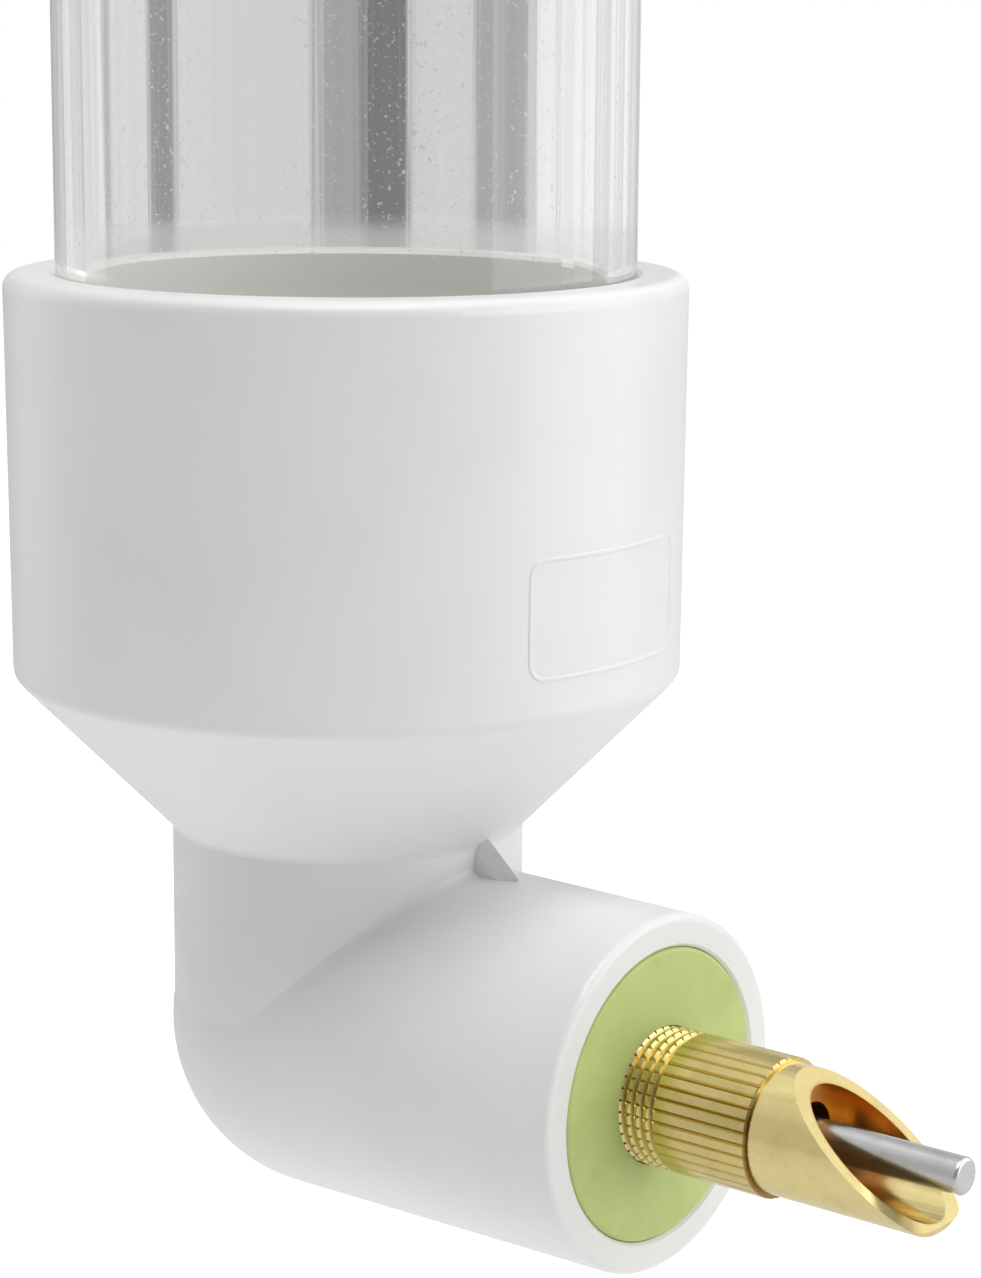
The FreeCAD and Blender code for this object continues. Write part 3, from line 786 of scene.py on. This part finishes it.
def view_axes(azimuth, elevation, roll):
    """Right, up and back of a view from an azimuth, looking down by an elevation, with a roll."""
    level = math.cos(elevation)
    back = Vector((math.sin(azimuth) * level, -math.cos(azimuth) * level, math.sin(elevation)))
    flat = Vector((math.cos(azimuth), math.sin(azimuth), 0.0))
    raised = back.cross(flat)
    right = flat * math.cos(roll) + raised * math.sin(roll)
    return right, back.cross(right), back


class DISPENSER_OT_stage(Operator):
    """Sets the floor, the lights, the background and the camera"""

    bl_idname = "dispenser.stage"
    bl_label = "Set the stage"

    def execute(self, context):
        setup = context.scene.dispenser_studio
        floor_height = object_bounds()[0].z - setup.floor_drop
        pale_floor(floor_height)
        right, up, back = view_axes(setup.azimuth, setup.elevation, setup.roll)
        studio_world(setup.fill, back)

        def stand(place):
            """A place to the view's right, towards the camera and up from what the lamps aim at."""
            aside, nearer, higher = place
            return LAMP_TARGET + right * aside + back * nearer + Vector((0.0, 0.0, higher))

        soft_lamp("key_lamp", setup.key, KEY_SIZE, stand(KEY_PLACE))
        soft_lamp("overhead_lamp", setup.overhead, OVERHEAD_SIZE, stand(OVERHEAD_PLACE))
        below = Vector((LAMP_TARGET.x, LAMP_TARGET.y, floor_height + TABLE_LAMP_RISE))
        table_lamp = soft_lamp("table_lamp", setup.table, TABLE_SIZE, below)
        table_lamp.visible_glossy = False
        soft_lamp("edge_lamp", setup.edge, EDGE_SIZE, stand(EDGE_PLACE))

        # The camera stands where the photograph's frame shows the rim's centre at its place
        focal = setup.lens / SENSOR_SIDE * PHOTO_HEIGHT
        across = (ORIGIN_ACROSS - PHOTO_WIDTH / 2) / focal * setup.distance
        raised = (PHOTO_HEIGHT / 2 - ORIGIN_DOWN) / focal * setup.distance
        data = bpy.data.cameras.new("view_camera")
        data.lens = setup.lens
        data.sensor_width = SENSOR_SIDE
        data.clip_start = NEAREST_SEEN
        camera = bpy.data.objects.new("view_camera", data)
        turned = Matrix((right, up, back)).transposed().to_4x4()
        turned.translation = back * setup.distance - right * across - up * raised
        camera.matrix_world = turned
        context.scene.collection.objects.link(camera)
        context.scene.camera = camera
        context.scene.view_settings.view_transform = "Standard"
        return {"FINISHED"}


STEPS = (
    DISPENSER_OT_elbow, DISPENSER_OT_tube, DISPENSER_OT_cap, DISPENSER_OT_bung,
    DISPENSER_OT_nipple, DISPENSER_OT_steel, DISPENSER_OT_outline, DISPENSER_OT_stage,
)


class DISPENSER_PT_panel(Panel):
    """Lists the steps that finish the dispenser"""

    bl_idname = "DISPENSER_PT_panel"
    bl_label = "Bird water dispenser"
    bl_space_type = "VIEW_3D"
    bl_region_type = "UI"
    bl_category = "Dispenser"

    def draw(self, context):
        for step in STEPS:
            self.layout.operator(step.bl_idname)


GROUPS = {
    "dispenser_plastic": PlasticFinish,
    "dispenser_outline": OutlineSizes,
    "dispenser_tube": TubeFinish,
    "dispenser_rubber": RubberFinish,
    "dispenser_brass": BrassFinish,
    "dispenser_steel": SteelFinish,
    "dispenser_studio": StudioSetup,
}


def register():
    for group in GROUPS.values():
        bpy.utils.register_class(group)
    for name, group in GROUPS.items():
        setattr(bpy.types.Scene, name, PointerProperty(type=group))
    for step in STEPS:
        bpy.utils.register_class(step)
    bpy.utils.register_class(DISPENSER_PT_panel)


def unregister():
    bpy.utils.unregister_class(DISPENSER_PT_panel)
    for step in reversed(STEPS):
        bpy.utils.unregister_class(step)
    for name, group in reversed(GROUPS.items()):
        delattr(bpy.types.Scene, name)
        bpy.utils.unregister_class(group)


def main():
    register()
    bpy.context.view_layer.update()
    for step in STEPS:
        family, name = step.bl_idname.split(".")
        getattr(getattr(bpy.ops, family), name)()
    bpy.context.view_layer.update()


if __name__ == "__main__":
    main()
